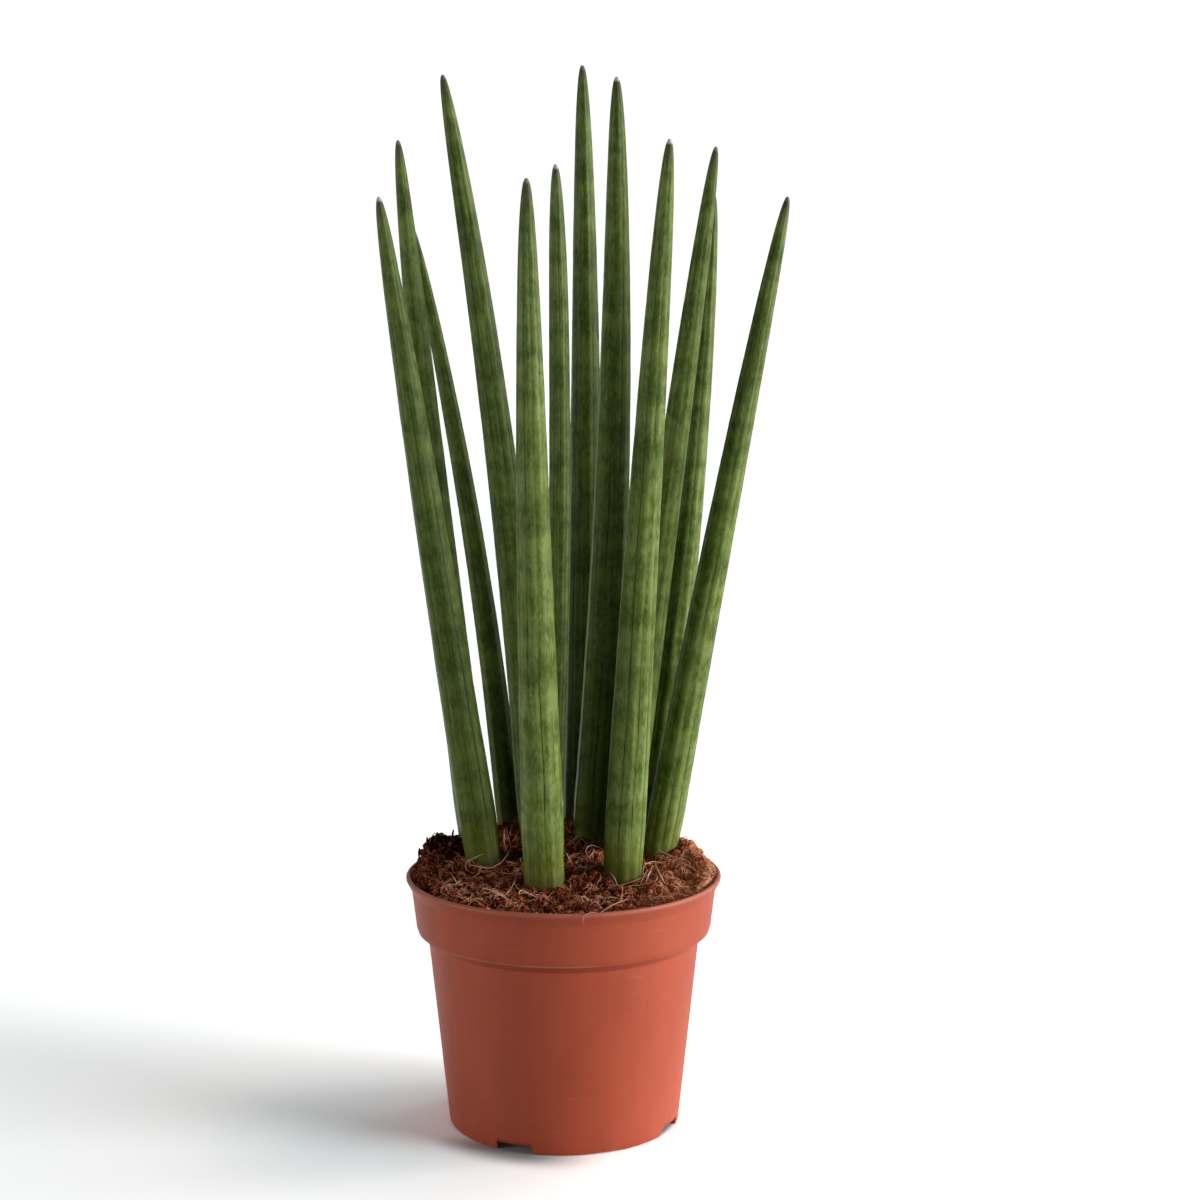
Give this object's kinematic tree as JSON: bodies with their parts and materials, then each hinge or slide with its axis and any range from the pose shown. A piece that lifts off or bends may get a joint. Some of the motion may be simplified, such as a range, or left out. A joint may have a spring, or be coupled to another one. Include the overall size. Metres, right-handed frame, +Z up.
{
  "type": "potted cylindrical snake plant",
  "caption": "Potted succulent with upright, round, tapering spear leaves standing in heaped coir in a round plastic nursery pot.",
  "frame": {"origin": "middle of the whole plant's footprint, on the surface that the pot stands on; the pot's axis stands 8 mm to -X of it, because the leaves reach further to +X", "axes": "+Z up along the pot's axis, -Y is the side seen from the front"},
  "size_m": [0.1522, 0.1211, 0.4],
  "materials": {
    "pot": "satin",
    "soil": "matte",
    "leaf": "satin"
  },
  "bodies": {
    "root": {"pot": "pot", "soil": "soil", "leaf_01": "leaf", "leaf_02": "leaf", "leaf_03": "leaf", "leaf_04": "leaf", "leaf_05": "leaf", "leaf_06": "leaf", "leaf_07": "leaf", "leaf_08": "leaf", "leaf_09": "leaf", "leaf_10": "leaf", "leaf_11": "leaf", "leaf_12": "leaf"}
  },
  "joints": []
}
